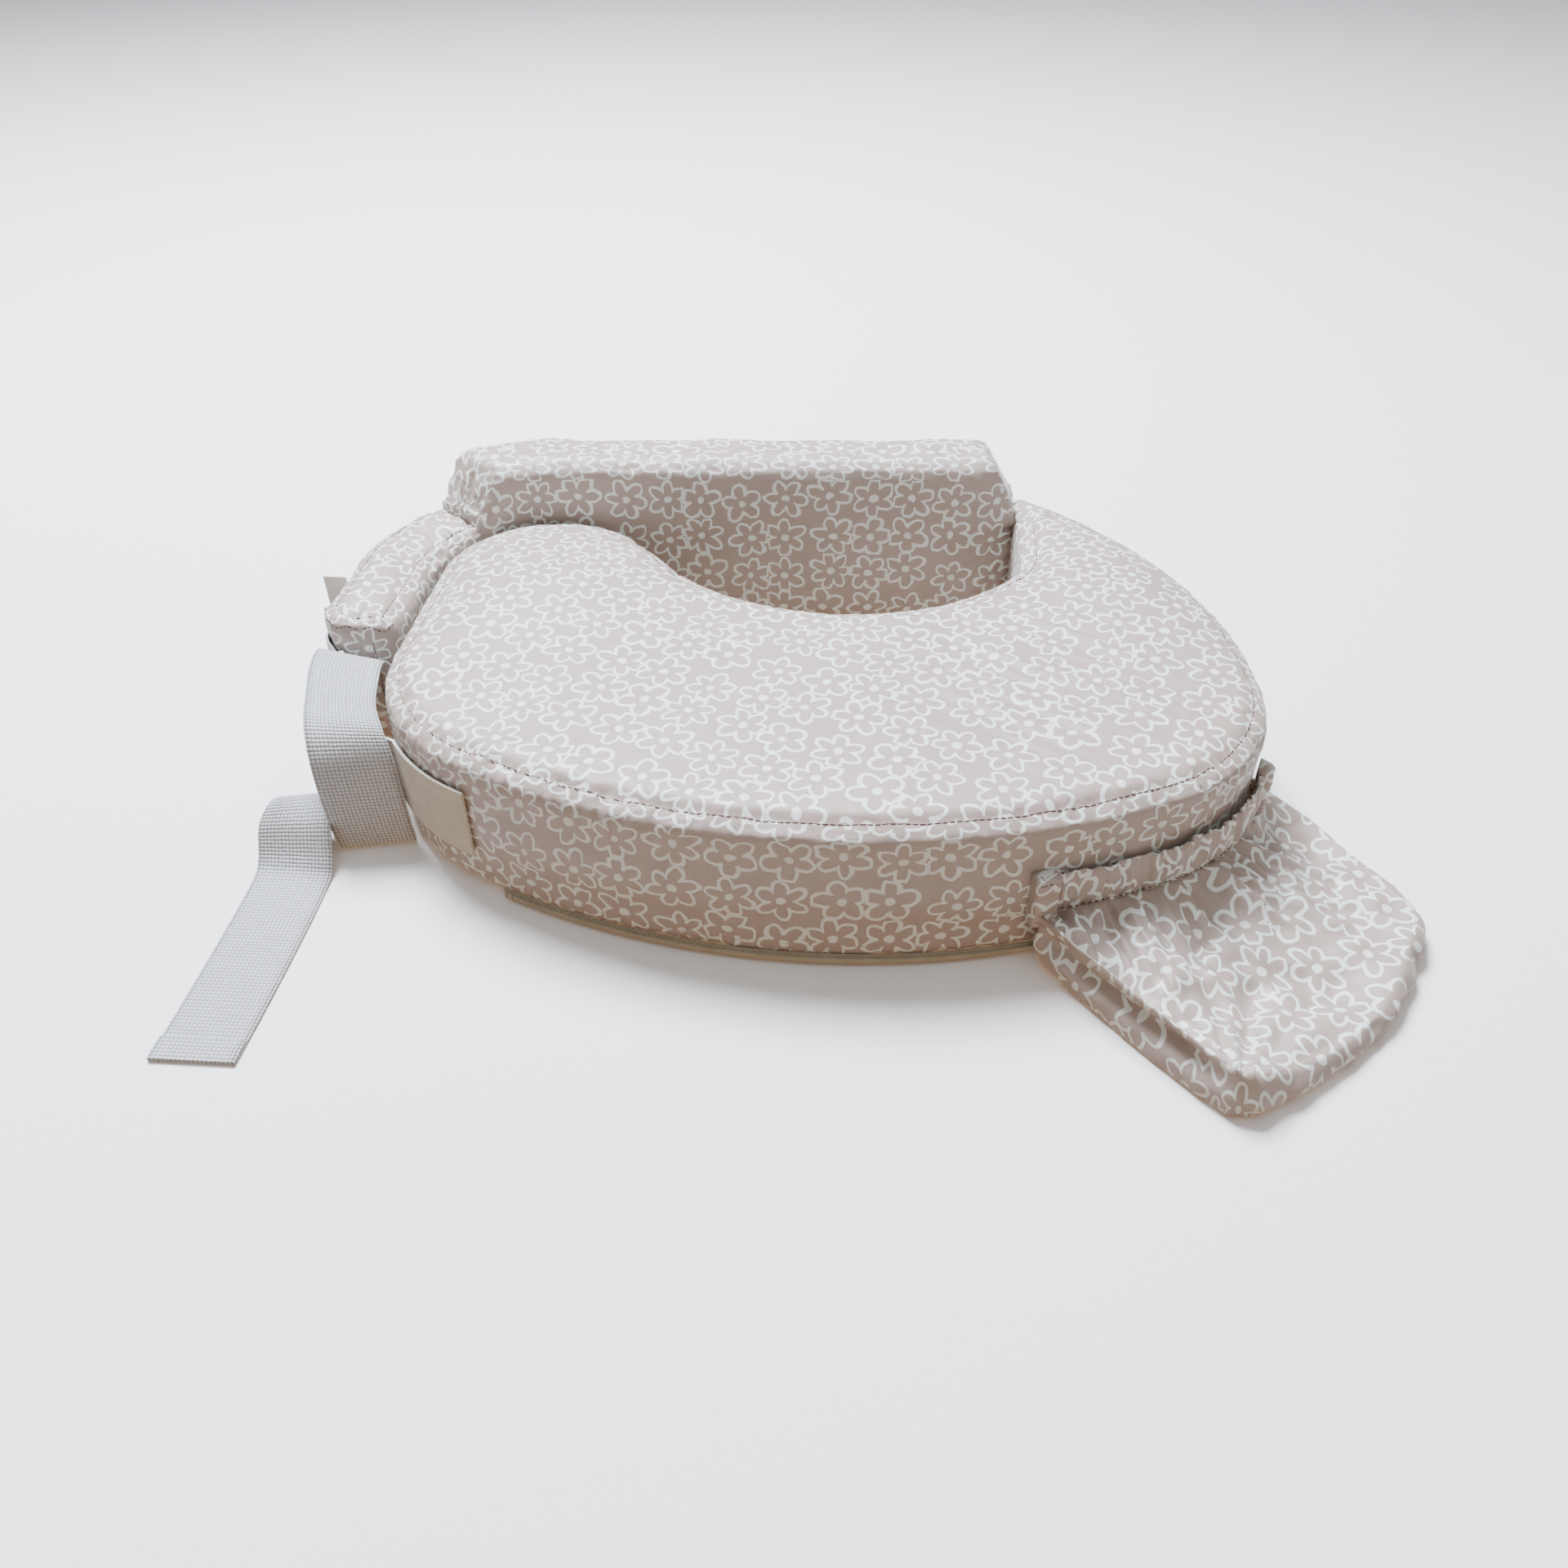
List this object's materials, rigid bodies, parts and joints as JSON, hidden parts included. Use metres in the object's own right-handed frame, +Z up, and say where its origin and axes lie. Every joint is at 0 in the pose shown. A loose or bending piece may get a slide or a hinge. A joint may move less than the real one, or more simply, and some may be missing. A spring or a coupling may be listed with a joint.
{
  "type": "nursing pillow",
  "caption": "Wrap-around nursing pillow: foam shelf, taller back rest and left arm in a printed zip cover, with a side pocket and an adjustable buckled strap.",
  "frame": {"origin": "on the floor under the middle of the shelf's front curve, between its two side curves", "axes": "+Z up, +Y from the shelf towards the back rest, +X towards the right arm"},
  "size_m": [0.7453, 0.5532, 0.147],
  "materials": {
    "printed_cotton": "printed cotton sateen, outlined flowers",
    "foam": "open-cell upholstery foam",
    "anchor_twill": "cream twill tape",
    "strap_webbing": "basket-weave webbing",
    "zip_tape": "woven zip tape",
    "zip_coil": "nylon coil",
    "zip_metal": "painted die-cast slider",
    "buckle_plastic": "moulded acetal, satin",
    "elastic": "knitted elastic",
    "label_satin": "blank satin label"
  },
  "bodies": {
    "shelf": {"shelf_foam": "foam", "shelf_top_panel": "printed_cotton", "shelf_inner_band": "printed_cotton", "shelf_outer_band": "printed_cotton", "shelf_base_panel": "printed_cotton", "zipper_tape": "zip_tape", "zipper_coil": "zip_coil", "zipper_stops": "zip_metal", "pocket_bag": "printed_cotton", "pocket_hem": "printed_cotton", "pocket_elastic": "elastic", "pocket_bindings": "printed_cotton", "shelf_anchor_webbing": "anchor_twill"},
    "zip_slider": {"zipper_slider": "zip_metal"},
    "zip_pull": {"zipper_pull": "zip_metal"},
    "socket": {"buckle_socket": "buckle_plastic"},
    "back_rest": {"back_foam": "foam", "back_top_panel": "printed_cotton", "back_inner_wall": "printed_cotton", "back_outer_wall": "printed_cotton", "back_base_panel": "printed_cotton"},
    "left_arm": {"arm_foam": "foam", "arm_top_panel": "printed_cotton", "arm_inner_wall": "printed_cotton", "arm_outer_wall": "printed_cotton", "arm_end_panel": "printed_cotton", "arm_base_panel": "printed_cotton", "arm_webbing": "strap_webbing", "buckle_prongs": "buckle_plastic", "strap_tail": "strap_webbing", "care_label": "label_satin"}
  },
  "joints": [
    {"name": "back_swing", "type": "hinge", "parent": "shelf", "child": "back_rest", "pos_m": [0.13676, 0.26909, 0], "axis": [0, 0, -1], "range_deg": [0, 40], "stiffness_Nm_per_rad": 1.5, "deforming": ["strap_tail"]},
    {"name": "arm_flex", "type": "hinge", "parent": "back_rest", "child": "left_arm", "pos_m": [-0.31351, 0.20525, 0], "axis": [0, 0, -1], "range_deg": [0, 35], "stiffness_Nm_per_rad": 0.6, "deforming": ["strap_tail"]},
    {"name": "buckle_close", "type": "slide", "parent": "shelf", "child": "socket", "axis": [-0.5, 0.866, 0], "range_m": [0, 0.0275]},
    {"name": "zip_slide", "type": "hinge", "parent": "shelf", "child": "zip_slider", "pos_m": [0, 0.29985, 0], "axis": [0, 0, -1], "range_deg": [0, 43.58]},
    {"name": "zip_pull_flip", "type": "hinge", "parent": "zip_slider", "child": "zip_pull", "pos_m": [0.17282, -0.14115, 0.0054], "axis": [0, 0, -1], "range_deg": [0, 170]}
  ]
}
